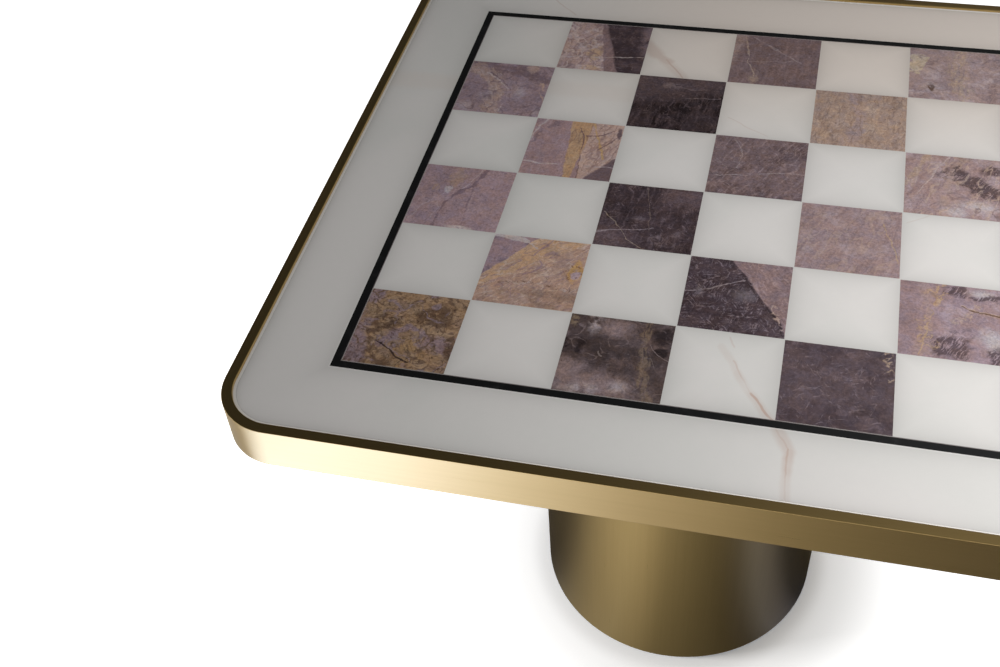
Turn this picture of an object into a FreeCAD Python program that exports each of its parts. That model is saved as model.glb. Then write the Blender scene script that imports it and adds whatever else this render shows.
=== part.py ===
# A square game table. A stone top, inlaid with a chequered field and a black line, sits in a
# bent brass bar and is carried on a brass-clad drum that hides a steel post and ballast.
# Millimetres, +Z up. The origin is on the floor, under the middle of the table.

import FreeCAD
import Part

import os
from math import cos, radians, sin

Vector = FreeCAD.Vector
UP = Vector(0, 0, 1)
FULL_TURN = 360.0
HEXAGON_CORNER_SHARE = 1 / cos(radians(FULL_TURN / 12))

# Driving dimensions of the whole table
table_height = 480.0
square_size = 75.0
squares_per_side = 6
border_width = 75.0
band_height = 35.0
band_thickness = 8.0
corner_radius = 44.0
drum_diameter = 270.0
floor_gap = 3.0

# Stone top: one pale slab with pockets for the dark squares and a groove for the black line
rim_proud = 2.0
stone_thickness = 15.0
stone_edge_gap = 0.8
stone_chamfer = 1.5
inlay_depth = 6.0
inlay_clearance = 0.1
joint_width = 0.5
line_width = 6.0

# Brass bar around the top, and the steel tabs that tie it to the panel
band_edge_round = 0.6
tabs_per_side = 2
tab_spacing = 300.0
tab_length = 30.0
tab_reach = 22.0
tab_thickness = 3.0
tab_rebate_clearance = 0.4
tab_screw_inset = 12.0
tab_screw_radius = 2.0
tab_screw_head_radius = 4.0
tab_screw_head_height = 2.2
tab_screw_cover = 4.0
screw_hole_clearance = 0.05

# Wooden panel under the stone, with brass inserts for the bolts of the post
panel_recess = 2.0
panel_gap = 0.5
insert_radius = 6.0
insert_cover = 5.0
insert_count = 6

# Drum: a rolled brass shell with a steel ring at each end and a rubber gasket on top
drum_wall = 1.5
ring_thickness = 3.0
ring_fit = 0.1
upper_ring_width = 13.0
lower_ring_width = 14.0
gasket_thickness = 1.0

# Steel post with its welded plates
post_radius = 30.15
post_wall = 3.0
top_plate_thickness = 8.0
top_plate_clearance = 0.5
top_bolt_radius = 4.0
top_bolt_edge = 20.0
top_bolt_head_width = 13.0
top_bolt_head_height = 5.3
bolt_hole_clearance = 0.5
bolt_end_cover = 2.0
thread_clearance = 0.05
gusset_count = 3
gusset_length = 55.0
gusset_height = 60.0
gusset_thickness = 6.0
gusset_gap = 0.1
foot_flange_radius = 60.0
foot_flange_thickness = 10.0
flange_screw_count = 4
flange_screw_radius = 5.0
flange_screw_circle_radius = 45.0
flange_screw_head_radius = 10.0
flange_screw_head_height = 5.5
flange_screw_cover = 2.0
flange_screw_socket_width = 6.0
flange_screw_socket_depth = 3.5

# Base plate and ballast
base_plate_thickness = 12.0
base_plate_gap = 0.3
ballast_thickness = 35.0
ballast_count = 2
ballast_bore_gap = 0.5
ballast_nut_gap = 4.5
collar_radius = 45.0
collar_height = 15.0
collar_gap = 0.15
collar_screw_radius = 4.0
collar_screw_tip_gap = 0.05

# Levelling glides: a nylon pad turns freely on the flange of a threaded steel stem
glide_count = 4
glide_inset = 33.0
glide_travel = 10.0
pad_radius = 16.0
pad_thickness = 8.0
pad_floor = 2.5
pad_edge_round = 0.8
pad_counterbore_gap = 2.0
pad_key_hole_radius = 3.5
stem_radius = 4.0
stem_end = 2.0
stem_flange_radius = 7.0
stem_flange_thickness = 2.5
stem_play = 0.2
stem_socket_width = 4.0
stem_socket_depth = 4.0
nut_width = 13.0
nut_height = 6.5

# How far every cutting shape runs past what it cuts, and how close an edge is to its height
cut_overrun = 1.0
height_tolerance = 0.01

# Heights and half widths that several pieces share
field_half = squares_per_side * square_size / 2
top_half = field_half + border_width
band_inner_half = top_half - band_thickness
band_bottom = table_height - band_height
stone_top_height = table_height - rim_proud
stone_bottom = stone_top_height - stone_thickness
panel_bottom = band_bottom + panel_recess
line_inner_half = field_half + joint_width
line_outer_half = line_inner_half + line_width
drum_radius = drum_diameter / 2
drum_inner_radius = drum_radius - drum_wall
drum_top = panel_bottom - gasket_thickness
ring_radius = drum_inner_radius - ring_fit
base_plate_radius = drum_inner_radius - base_plate_gap
base_plate_top = floor_gap + base_plate_thickness
foot_flange_top = base_plate_top + foot_flange_thickness
top_plate_bottom = panel_bottom - top_plate_thickness
top_plate_radius = ring_radius - upper_ring_width - top_plate_clearance
top_bolt_circle_radius = top_plate_radius - top_bolt_edge
insert_top = stone_bottom - insert_cover
glide_circle_radius = base_plate_radius - glide_inset
glide_bore_radius = stem_radius + thread_clearance
nut_top = base_plate_top + nut_height
nut_corner_radius = nut_width / 2 * HEXAGON_CORNER_SHARE
ballast_radius = glide_circle_radius - nut_corner_radius - ballast_nut_gap
ballast_top = foot_flange_top + ballast_count * ballast_thickness


def save(node, *solids):
    """Writes the solids of one node to its own file."""
    shape = solids[0] if len(solids) == 1 else Part.makeCompound(list(solids))
    for solid in shape.Solids:
        if not solid.isValid() or solid.Volume <= 0:
            raise ValueError(f"{node} has a solid that is not valid")
    shape.exportStep(f"parts/{node}.step")


def box(x_low, y_low, z_low, x_high, y_high, z_high):
    """A block between two opposite corners."""
    low = Vector(x_low, y_low, z_low)
    return Part.makeBox(x_high - x_low, y_high - y_low, z_high - z_low, low)


def cylinder(radius, low, high, x=0, y=0):
    """An upright round bar from one height to another."""
    return Part.makeCylinder(radius, high - low, Vector(x, y, low))


def ring(outer_radius, inner_radius, low, high):
    """A flat ring or tube on the table's axis."""
    bore = cylinder(inner_radius, low - cut_overrun, high + cut_overrun)
    return cylinder(outer_radius, low, high).cut(bore)


def hexagon(width, low, high, x=0, y=0):
    """An upright hexagonal bar, width across flats."""
    corner = width / 2 * HEXAGON_CORNER_SHARE
    turns = [radians(FULL_TURN * side / 6) for side in range(7)]
    corners = [Vector(x + corner * cos(turn), y + corner * sin(turn), low) for turn in turns]
    return Part.Face(Part.makePolygon(corners)).extrude(UP * (high - low))


def countersunk(radius, head_radius, head_height, low, high, x, y):
    """A flat-headed screw that points up, with its head at the lower end."""
    head = Part.makeCone(head_radius, radius, head_height, Vector(x, y, low))
    return head.fuse(cylinder(radius, low, high, x, y)).removeSplitter()


def rounded_square(half, radius, low, high):
    """A square plate with round corners, on the table's axis."""
    plate = box(-half, -half, low, half, half, high)
    upright = [edge for edge in plate.Edges if abs(edge.tangentAt(edge.FirstParameter).z) > 0.5]
    return plate.makeFillet(radius, upright)


def edges_at(shape, height):
    """The edges of a shape that lie flat at one height."""
    low = height - height_tolerance
    high = height + height_tolerance
    return [edge for edge in shape.Edges if edge.BoundBox.ZMin > low and edge.BoundBox.ZMax < high]


def on_circle(radius, count, first_angle=0):
    """Evenly spaced places on a circle, as pairs of x and y."""
    turns = [radians(first_angle + FULL_TURN * step / count) for step in range(count)]
    return [(radius * cos(turn), radius * sin(turn)) for turn in turns]


def dark_squares():
    """The column and row of each dark square. The near left corner square is dark."""
    places = [(column, row) for row in range(squares_per_side) for column in range(squares_per_side)]
    return [(column, row) for column, row in places if (column + row) % 2 == 0]


def square_block(column, row, inset, low, high):
    """A block that fills one square of the field, less an inset on each side."""
    x_low = column * square_size - field_half
    y_low = row * square_size - field_half
    x_high = x_low + square_size - inset
    y_high = y_low + square_size - inset
    return box(x_low + inset, y_low + inset, low, x_high, y_high, high)


def quarter_turn(shape, quarters):
    """A copy of a shape, turned about the table's axis by quarter turns."""
    turned = shape.copy()
    turned.rotate(Vector(0, 0, 0), UP, quarters * FULL_TURN / 4)
    return turned


def tab_places():
    """Where the tabs sit along one side, from its middle."""
    first = -tab_spacing * (tabs_per_side - 1) / 2
    return [first + tab_spacing * step for step in range(tabs_per_side)]


def make_stone_top():
    """The pale slab. Its top edge is chamfered, and all its inlays are let in to one depth."""
    stone_half = band_inner_half - stone_edge_gap
    stone_corner = corner_radius - band_thickness - stone_edge_gap
    slab = rounded_square(stone_half, stone_corner, stone_bottom, stone_top_height)
    slab = slab.makeChamfer(stone_chamfer, edges_at(slab, stone_top_height))
    floor = stone_top_height - inlay_depth
    over = stone_top_height + cut_overrun
    pocket_inset = joint_width / 2
    pockets = [square_block(column, row, pocket_inset, floor, over) for column, row in dark_squares()]
    groove_outer = line_outer_half + inlay_clearance
    groove_inner = line_inner_half - inlay_clearance
    groove = box(-groove_outer, -groove_outer, floor, groove_outer, groove_outer, over)
    core_low = floor - cut_overrun
    core_high = over + cut_overrun
    core = box(-groove_inner, -groove_inner, core_low, groove_inner, groove_inner, core_high)
    save("stone_top", slab.cut(pockets + [groove.cut(core)]))


def make_dark_squares():
    """One violet stone square in each pocket, flush with the slab."""
    inset = joint_width / 2 + inlay_clearance
    floor = stone_top_height - inlay_depth
    for column, row in dark_squares():
        tile = square_block(column, row, inset, floor, stone_top_height)
        save(f"violet_square_{chr(ord('a') + column)}{row + 1}", tile)


def make_black_lines():
    """Four black stone strips, mitred at the corners, around the field."""
    floor = stone_top_height - inlay_depth
    corners = [
        Vector(-line_outer_half, -line_outer_half, floor),
        Vector(line_outer_half, -line_outer_half, floor),
        Vector(line_inner_half, -line_inner_half, floor),
        Vector(-line_inner_half, -line_inner_half, floor),
    ]
    outline = Part.makePolygon(corners + corners[:1])
    strip = Part.Face(outline).extrude(UP * inlay_depth)
    for quarters, side in enumerate(("front", "right", "back", "left")):
        save(f"black_line_{side}", quarter_turn(strip, quarters))


def make_edge_band():
    """The brass bar, bent round the four corners and welded into one ring."""
    outer = rounded_square(top_half, corner_radius, band_bottom, table_height)
    hole_low = band_bottom - cut_overrun
    hole_high = table_height + cut_overrun
    inner = rounded_square(band_inner_half, corner_radius - band_thickness, hole_low, hole_high)
    band = outer.cut(inner)
    sharp = edges_at(band, table_height) + edges_at(band, band_bottom)
    save("edge_band", band.makeFillet(band_edge_round, sharp))


def make_band_tabs():
    """Steel tabs, welded inside the bar and screwed up into rebates in the panel."""
    screws = []
    for quarters, side in enumerate(("front", "right", "back", "left")):
        for step, place in enumerate(tab_places()):
            wall = -band_inner_half
            tab = box(
                place - tab_length / 2,
                wall,
                panel_bottom,
                place + tab_length / 2,
                wall + tab_reach,
                panel_bottom + tab_thickness,
            )
            screw = countersunk(
                tab_screw_radius,
                tab_screw_head_radius,
                tab_screw_head_height,
                panel_bottom,
                stone_bottom - tab_screw_cover,
                place,
                wall + tab_screw_inset,
            )
            hole = countersunk(
                tab_screw_radius + screw_hole_clearance,
                tab_screw_head_radius + screw_hole_clearance,
                tab_screw_head_height,
                panel_bottom,
                stone_bottom,
                place,
                wall + tab_screw_inset,
            )
            save(f"band_tab_{side}_{step + 1}", quarter_turn(tab.cut(hole), quarters))
            screws.append(quarter_turn(screw, quarters))
    save("tab_screws", *screws)


def make_top_panel():
    """The lacquered wooden panel that carries the stone, with rebates and insert holes."""
    half = band_inner_half - panel_gap
    corner = corner_radius - band_thickness - panel_gap
    panel = rounded_square(half, corner, panel_bottom, stone_bottom)
    below = panel_bottom - cut_overrun
    cuts = []
    for quarters in range(4):
        for place in tab_places():
            wall = -band_inner_half
            rebate = box(
                place - tab_length / 2 - tab_rebate_clearance,
                wall - cut_overrun,
                below,
                place + tab_length / 2 + tab_rebate_clearance,
                wall + tab_reach + tab_rebate_clearance,
                panel_bottom + tab_thickness,
            )
            pilot = cylinder(
                tab_screw_radius + screw_hole_clearance,
                below,
                stone_bottom - tab_screw_cover,
                place,
                wall + tab_screw_inset,
            )
            cuts += [quarter_turn(rebate, quarters), quarter_turn(pilot, quarters)]
    for x, y in on_circle(top_bolt_circle_radius, insert_count):
        cuts.append(cylinder(insert_radius + screw_hole_clearance, below, insert_top, x, y))
    save("top_panel", panel.cut(cuts))


def make_panel_inserts():
    """Brass inserts in the panel that the bolts of the top plate screw into."""
    inserts = []
    for x, y in on_circle(top_bolt_circle_radius, insert_count):
        body = cylinder(insert_radius, panel_bottom, insert_top, x, y)
        bore_low = panel_bottom - cut_overrun
        bore_high = insert_top + cut_overrun
        bore = cylinder(top_bolt_radius + thread_clearance, bore_low, bore_high, x, y)
        inserts.append(body.cut(bore))
    save("panel_inserts", *inserts)


def make_post():
    """The steel post, the plate on its top with its gussets and bolts, and the flange at its foot."""
    save("post_tube", ring(post_radius, post_radius - post_wall, foot_flange_top, top_plate_bottom))
    plate = cylinder(top_plate_radius, top_plate_bottom, panel_bottom)
    bolts = []
    for x, y in on_circle(top_bolt_circle_radius, insert_count):
        hole_radius = top_bolt_radius + bolt_hole_clearance
        hole_low = top_plate_bottom - cut_overrun
        hole_high = panel_bottom + cut_overrun
        plate = plate.cut(cylinder(hole_radius, hole_low, hole_high, x, y))
        head_bottom = top_plate_bottom - top_bolt_head_height
        shank = cylinder(top_bolt_radius, top_plate_bottom, insert_top - bolt_end_cover, x, y)
        head = hexagon(top_bolt_head_width, head_bottom, top_plate_bottom, x, y)
        bolts.append(shank.fuse(head))
    save("top_plate", plate)
    save("top_plate_bolts", *bolts)
    inner = post_radius + gusset_gap
    corners = [
        Vector(inner, -gusset_thickness / 2, top_plate_bottom),
        Vector(inner + gusset_length, -gusset_thickness / 2, top_plate_bottom),
        Vector(inner, -gusset_thickness / 2, top_plate_bottom - gusset_height),
    ]
    outline = Part.makePolygon(corners + corners[:1])
    gusset = Part.Face(outline).extrude(Vector(0, gusset_thickness, 0))
    gussets = []
    halfway_between_bolts = FULL_TURN / insert_count / 2
    for step in range(gusset_count):
        turned = gusset.copy()
        turned.rotate(Vector(0, 0, 0), UP, halfway_between_bolts + FULL_TURN * step / gusset_count)
        gussets.append(turned)
    save("post_gussets", *gussets)
    flange = cylinder(foot_flange_radius, base_plate_top, foot_flange_top)
    for x, y in on_circle(flange_screw_circle_radius, flange_screw_count):
        hole_radius = flange_screw_radius + thread_clearance
        hole_low = base_plate_top - cut_overrun
        hole_high = foot_flange_top + cut_overrun
        flange = flange.cut(cylinder(hole_radius, hole_low, hole_high, x, y))
    save("post_foot_flange", flange)


def make_base_plate():
    """The steel disc that closes the drum, with seats for the glides and the flange screws."""
    plate = cylinder(base_plate_radius, floor_gap, base_plate_top)
    below = floor_gap - cut_overrun
    above = base_plate_top + cut_overrun
    cuts = []
    for x, y in on_circle(glide_circle_radius, glide_count, FULL_TURN / 8):
        cuts.append(cylinder(pad_radius + pad_counterbore_gap, below, pad_thickness, x, y))
        cuts.append(cylinder(stem_radius + bolt_hole_clearance, below, above, x, y))
    screws = []
    for x, y in on_circle(flange_screw_circle_radius, flange_screw_count):
        seat = countersunk(
            flange_screw_radius + bolt_hole_clearance,
            flange_screw_head_radius,
            flange_screw_head_height,
            floor_gap,
            above,
            x,
            y,
        )
        screw = countersunk(
            flange_screw_radius,
            flange_screw_head_radius,
            flange_screw_head_height,
            floor_gap,
            foot_flange_top - flange_screw_cover,
            x,
            y,
        )
        socket_top = floor_gap + flange_screw_socket_depth
        socket = hexagon(flange_screw_socket_width, below, socket_top, x, y)
        cuts.append(seat)
        screws.append(screw.cut(socket))
    save("base_plate", plate.cut(cuts))
    save("flange_screws", *screws)


def make_ballast():
    """Cast iron discs round the post, held down by a collar with a grub screw."""
    bore = post_radius + ballast_bore_gap
    for step in range(ballast_count):
        low = foot_flange_top + step * ballast_thickness
        save(f"ballast_disc_{step + 1}", ring(ballast_radius, bore, low, low + ballast_thickness))
    collar = ring(collar_radius, post_radius + collar_gap, ballast_top, ballast_top + collar_height)
    middle = ballast_top + collar_height / 2
    along_x = Vector(1, 0, 0)
    start = Vector(post_radius + collar_screw_tip_gap, 0, middle)
    screw_length = collar_radius - start.x
    hole_radius = collar_screw_radius + thread_clearance
    hole = Part.makeCylinder(hole_radius, screw_length + cut_overrun, start, along_x)
    save("ballast_collar", collar.cut(hole))
    save("collar_screw", Part.makeCylinder(collar_screw_radius, screw_length, start, along_x))


def make_drum():
    """The rolled shell, the two rings welded in its ends and the gasket under the panel."""
    save("drum_shell", ring(drum_radius, drum_inner_radius, floor_gap, drum_top))
    upper_inner = ring_radius - upper_ring_width
    lower_inner = ring_radius - lower_ring_width
    save("drum_upper_ring", ring(ring_radius, upper_inner, drum_top - ring_thickness, drum_top))
    lower_top = base_plate_top + ring_thickness
    save("drum_lower_ring", ring(ring_radius, lower_inner, base_plate_top, lower_top))
    save("drum_gasket", ring(drum_radius, upper_inner, drum_top, panel_bottom))


def make_glides():
    """Weld nuts on the base plate, and in each a stem that carries a pad."""
    flange_low = pad_floor + stem_play
    flange_high = flange_low + stem_flange_thickness
    nuts = []
    names = ("back_right", "back_left", "front_left", "front_right")
    for number, (x, y) in enumerate(on_circle(glide_circle_radius, glide_count, FULL_TURN / 8)):
        name = names[number] if glide_count == len(names) else str(number + 1)
        bore_low = base_plate_top - cut_overrun
        bore = cylinder(glide_bore_radius, bore_low, nut_top + cut_overrun, x, y)
        nuts.append(hexagon(nut_width, base_plate_top, nut_top, x, y).cut(bore))
        pad = cylinder(pad_radius, 0, pad_thickness, x, y)
        pad = pad.makeFillet(pad_edge_round, edges_at(pad, 0))
        cavity_radius = stem_flange_radius + stem_play
        cavity = cylinder(cavity_radius, pad_floor, flange_high + stem_play, x, y)
        neck = cylinder(stem_radius + stem_play, pad_floor, pad_thickness + cut_overrun, x, y)
        key_hole = cylinder(pad_key_hole_radius, -cut_overrun, pad_floor + cut_overrun, x, y)
        save(f"glide_pad_{name}", pad.cut([cavity, neck, key_hole]))
        stem_top = nut_top + glide_travel + stem_end
        stem = cylinder(stem_radius, flange_low, stem_top, x, y)
        stem = stem.fuse(cylinder(stem_flange_radius, flange_low, flange_high, x, y))
        socket_low = flange_low - cut_overrun
        socket = hexagon(stem_socket_width, socket_low, flange_low + stem_socket_depth, x, y)
        save(f"glide_stem_{name}", stem.removeSplitter().cut(socket))
    save("glide_nuts", *nuts)


os.makedirs("parts", exist_ok=True)
make_stone_top()
make_dark_squares()
make_black_lines()
make_edge_band()
make_band_tabs()
make_top_panel()
make_panel_inserts()
make_post()
make_base_plate()
make_ballast()
make_drum()
make_glides()
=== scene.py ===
from functools import reduce
from math import atan2, cos, pi, radians, sin

import bmesh
import bpy
from mathutils import Matrix, Vector


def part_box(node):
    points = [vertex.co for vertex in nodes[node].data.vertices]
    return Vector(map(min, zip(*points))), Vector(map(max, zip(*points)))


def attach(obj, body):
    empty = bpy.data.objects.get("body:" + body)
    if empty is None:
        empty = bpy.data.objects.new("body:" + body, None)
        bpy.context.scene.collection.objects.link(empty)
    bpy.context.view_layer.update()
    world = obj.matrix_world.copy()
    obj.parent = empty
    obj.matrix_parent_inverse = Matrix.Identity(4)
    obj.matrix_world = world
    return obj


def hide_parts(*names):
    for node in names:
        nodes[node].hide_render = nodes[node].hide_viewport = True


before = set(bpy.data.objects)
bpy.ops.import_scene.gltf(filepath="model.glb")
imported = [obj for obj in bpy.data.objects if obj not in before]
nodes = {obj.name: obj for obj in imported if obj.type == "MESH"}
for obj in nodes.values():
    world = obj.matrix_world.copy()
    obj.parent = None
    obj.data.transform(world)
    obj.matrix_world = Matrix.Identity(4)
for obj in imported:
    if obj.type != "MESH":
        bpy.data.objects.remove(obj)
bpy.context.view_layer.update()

# Stone top
# One slab of pale, faintly veined stone, polished, with its upper arris chamfered. Every dark
# square and the black line are let into it, so it shows between them and as the wide border.
stone_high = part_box("stone_top")[1]
line_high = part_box("black_line_front")[1]
square_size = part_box("violet_square_b2")[0].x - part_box("violet_square_a1")[0].x
surface = stone_high.z
slab_half = stone_high.x
line_outer = line_high.x
line_inner = -line_high.y
hair = 0.0006
hair_fade = 0.0002


class Wire:
    """One output of a shader node. Arithmetic on wires adds Math nodes."""

    def __init__(self, finish, socket):
        self.finish = finish
        self.socket = socket

    def other(self, name):
        """Another output of the same node."""
        return Wire(self.finish, self.socket.node.outputs[name])

    def maths(self, operation, *terms):
        return self.finish.node("Math", {"operation": operation}, dict(enumerate((self, *terms))))

    def __add__(self, term):
        return self.maths("ADD", term)

    __radd__ = __add__

    def __sub__(self, term):
        return self.maths("SUBTRACT", term)

    def __rsub__(self, term):
        return self.maths("MULTIPLY_ADD", -1, term)

    def __mul__(self, term):
        return self.maths("MULTIPLY", term)

    __rmul__ = __mul__

    def __truediv__(self, term):
        return self.maths("DIVIDE", term)

    def __abs__(self):
        return self.maths("ABSOLUTE")

    def __or__(self, term):
        """The larger of two, so that masks join."""
        return self.maths("MAXIMUM", term)

    def rise(self, low, high):
        """0 below the low value and 1 above the high one, with a smooth step between them."""
        sockets = {"Value": self, "From Min": low, "From Max": high}
        return self.finish.node("MapRange", {"interpolation_type": "SMOOTHSTEP"}, sockets)


def joined(masks):
    """The largest of several masks."""
    return reduce(Wire.__or__, masks)


class Finish:
    """The nodes of one material, or of the world. Every node but a Math node comes from node()."""

    def __init__(self, owner):
        self.owner = owner
        owner.use_nodes = True
        self.tree = owner.node_tree
        self.tree.nodes.clear()

    def node(self, kind, settings=None, sockets=None):
        """Adds a node. Settings come first, then sockets' values or wires, by name or number."""
        made = self.tree.nodes.new("ShaderNode" + kind)
        for name, value in (settings or {}).items():
            if name == "stops":
                self.set_stops(made.color_ramp.elements, value)
            else:
                setattr(made, name, value)
        usable = [socket for socket in made.inputs if socket.enabled]
        for name, value in (sockets or {}).items():
            named = [socket for socket in usable if socket.name == name]
            socket = named[0] if named else usable[name]
            if isinstance(value, Wire):
                self.tree.links.new(value.socket, socket)
            elif socket.type == "RGBA":
                socket.default_value = (*value, 1)
            else:
                socket.default_value = value
        outputs = [socket for socket in made.outputs if socket.enabled]
        return Wire(self, outputs[0]) if outputs else None

    def set_stops(self, elements, stops):
        while len(elements) < len(stops):
            elements.new(1)
        for element, (place, shade) in zip(elements, stops):
            element.position = place
            element.color = (*shade, 1)

    def vectors(self, operation, *terms):
        return self.node("VectorMath", {"operation": operation}, dict(enumerate(terms)))

    def coordinates(self, kind="Object"):
        return self.node("TexCoord").other(kind)

    def split(self, vector):
        """The X of a vector. The other outputs are its Y and Z."""
        return self.node("SeparateXYZ", {}, {"Vector": vector})

    def mapped(self, vector, centre=(0, 0, 0), turn=0, sizes=(1, 1, 1)):
        """Coordinates measured from a centre, turned about Z, in units of three sizes."""
        sockets = {"Vector": vector, "Location": centre, "Rotation": (0, 0, turn), "Scale": sizes}
        return self.node("Mapping", {"vector_type": "TEXTURE"}, sockets)

    def noise(self, vector, scale, detail=3, roughness=0.5, distortion=0):
        sockets = {"Vector": vector, "Scale": scale, "Detail": detail}
        sockets.update({"Roughness": roughness, "Distortion": distortion})
        return self.node("TexNoise", {}, sockets)

    def warped(self, vector, scale, amount, detail=2):
        """Coordinates pushed about by a noise, so that what is drawn on them runs like stone."""
        push = self.noise(vector, scale, detail).other("Color")
        centred = self.vectors("SUBTRACT", push, (0.5, 0.5, 0.5))
        return self.vectors("ADD", vector, self.vectors("SCALE", centred, amount))

    def mix(self, share, first, second):
        return self.node("Mix", {"data_type": "RGBA"}, {"Factor": share, "A": first, "B": second})

    def stroke(self, vector, start, end, half_width, uneven=0):
        """1 along a straight run between two places on the flat, fading to its sides."""
        run = Vector((end[0] - start[0], end[1] - start[1], 0))
        from_start = self.vectors("SUBTRACT", vector, (*start, 0))
        share = self.vectors("DOT_PRODUCT", from_start, tuple(run / run.length_squared))
        share = share.maths("MAXIMUM", 0).maths("MINIMUM", 1)
        off = self.vectors("SUBTRACT", from_start, self.vectors("SCALE", tuple(run), share))
        return (self.vectors("LENGTH", off) + uneven).rise(half_width, half_width * 0.3)

    def bump(self, height, distance, strength):
        """A normal for relief of a height."""
        sockets = {"Height": height, "Distance": distance, "Strength": strength}
        return self.node("Bump", {}, sockets)

    def surface(self, colour, roughness, metallic=0, normal=None):
        """Closes the material with one Principled shader."""
        sockets = {"Base Color": colour, "Roughness": roughness, "Metallic": metallic}
        if normal:
            sockets["Normal"] = normal
        shader = self.node("BsdfPrincipled", {}, sockets)
        self.node("OutputMaterial", {}, {"Surface": shader})
        return self.owner


def new_finish(name):
    return Finish(bpy.data.materials.new(name))


def dress(material, *names):
    """Gives carried-over nodes their material."""
    for name in names:
        for material_slot in nodes[name].material_slots:
            material_slot.material = material


def beside_line(outward):
    """1 in the hair of slab and resin between the outer squares and the black line."""
    past_squares = outward.rise(line_inner - hair - hair_fade, line_inner - hair)
    return past_squares * outward.rise(line_outer, line_inner)


def pale_stone():
    """Cloudy off-white with a few tan veins, warmer to the back. It is greyer beside the inlays
    and the bar, a painted shade, and has a painted highlight along the front of the black line.
    """
    white = (0.80, 0.772, 0.745)
    cool = (0.76, 0.745, 0.715)
    warm = (0.83, 0.745, 0.675)
    tan = (0.60, 0.445, 0.375)
    blush = (0.77, 0.69, 0.63)
    painted_highlight = (0.90, 0.88, 0.85)
    dusk = (0.10, 0.075, 0.075)
    painted_shade_reach = 0.009
    painted_shade_depth = 0.2
    grain_depth = 0.03
    painted_highlight_width = 0.0008
    painted_highlight_strength = 0.35
    hair_strength = 0.85
    polish = 0.06
    finish = new_finish("pale_stone")
    place = finish.coordinates()
    clouds = finish.noise(place, 9, 3, 0.45, distortion=0.4)
    grain = finish.noise(place, 160, 4, 0.6)
    axes = finish.split(place)
    to_back = axes.other("Y").rise(0.03, 0.20) * axes.rise(-0.26, 0.02)
    colour = finish.mix(clouds.rise(0.38, 0.66), white, cool)
    colour = finish.mix(to_back, colour, warm)
    bent = finish.warped(finish.warped(place, 14, 0.012), 70, 0.0035)
    flat = finish.vectors("MULTIPLY", bent, (1, 1, 0))
    faded = finish.noise(place, 30, 2).rise(0.34, 0.56)
    # Each soft band and each thin line of a vein: its start and end on the table, its half width
    # and its strength
    veins = (
        ((0.034, -0.164), (0.047, -0.188), 0.0045, 0.18),
        ((0.047, -0.188), (0.075, -0.228), 0.0050, 0.26),
        ((0.075, -0.228), (0.086, -0.250), 0.0060, 0.38),
        ((0.086, -0.250), (0.087, -0.290), 0.0050, 0.46),
        ((-0.082, 0.206), (-0.064, 0.184), 0.0095, 0.46),
        ((-0.070, 0.190), (-0.051, 0.172), 0.0062, 0.46),
        ((-0.056, 0.176), (-0.036, 0.151), 0.0065, 0.26),
        ((0.039, -0.154), (0.043, -0.164), 0.0010, 0.30),
        ((0.043, -0.178), (0.060, -0.206), 0.0011, 0.50),
        ((0.059, -0.204), (0.074, -0.226), 0.0016, 0.90),
        ((0.074, -0.228), (0.085, -0.248), 0.0012, 0.60),
        ((0.085, -0.248), (0.087, -0.290), 0.0012, 0.80),
        ((-0.054, 0.176), (-0.036, 0.151), 0.0012, 0.75),
        ((-0.176, 0.262), (-0.150, 0.236), 0.0009, 0.35),
        ((0.008, 0.100), (0.040, 0.078), 0.0009, 0.30),
        ((0.155, -0.010), (0.215, 0.030), 0.0009, 0.22),
        ((0.235, 0.060), (0.290, 0.150), 0.0009, 0.25),
    )
    marks = joined(finish.stroke(flat, *run) * strength for *run, strength in veins)
    colour = finish.mix(marks * (0.45 + 0.55 * faded), colour, tan)
    smear = finish.stroke(flat, (-0.300, 0.112), (-0.060, 0.121), 0.016)
    colour = finish.mix(smear * 0.35, colour, blush)
    # Painted shade: greyer within reach of the nearest inlay or of the bar, where the parts meet
    x = abs(axes)
    y = abs(axes.other("Y"))
    outward = x.maths("MAXIMUM", y)
    in_border = outward.rise(line_inner, line_outer)
    to_line = abs(outward - (line_outer + line_inner) / 2) - (line_outer - line_inner) / 2
    to_bar = (slab_half - outward) * 2
    off_x = abs((x / square_size).maths("FRACT") - 0.5)
    off_y = abs((y / square_size).maths("FRACT") - 0.5)
    to_square = (0.5 - off_x.maths("MAXIMUM", off_y)) * square_size
    nearest = to_square + (to_line.maths("MINIMUM", to_bar) - to_square) * in_border
    shade = (nearest.maths("MAXIMUM", 0) * (-1 / painted_shade_reach)).maths("EXPONENT")
    tone = (1 - shade * painted_shade_depth) * (1 - grain_depth / 2 + grain * grain_depth)
    colour = finish.vectors("SCALE", colour, tone)
    # A painted highlight, drawn as a light joint along the front of the black line only, and a
    # dark hair along its inner side
    front = axes.other("Y").rise(line_inner - slab_half, -line_inner)
    bright = abs(to_line - painted_highlight_width / 2).rise(painted_highlight_width, painted_highlight_width / 2) * in_border
    colour = finish.mix(bright * front * painted_highlight_strength, colour, painted_highlight)
    colour = finish.mix(beside_line(outward) * hair_strength, colour, dusk)
    return finish.surface(colour, polish + grain * grain_depth)


dress(pale_stone(), "stone_top")

# Joints of the inlays
# A hair of resin fills the gap round each dark square and along both edges of the black line. A
# wider bead fills the groove between the slab's chamfer and the bar. It is coloured whiter than
# the other joints, a painted highlight, so it shows as a light rim.
joint_gap = 0.0001
joint_depth = 0.0006
joint_flush = 0.00001
bead_half = slab_half + 0.00075
bead_corner = 0.03595
bead_segments = 28
bead_width = 0.0021
bead_depth = 0.00145
bead_slope = 0.00135


def pick(piece):
    """Makes one piece the active one, and selects no other."""
    bpy.ops.object.select_all(action="DESELECT")
    piece.select_set(True)
    bpy.context.view_layer.objects.active = piece


def settle(piece, name):
    """Names a finished piece and puts its place into its mesh."""
    pick(piece)
    bpy.ops.object.transform_apply(location=True, rotation=True, scale=True)
    piece.name = name
    piece.data.name = name
    return piece


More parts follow.
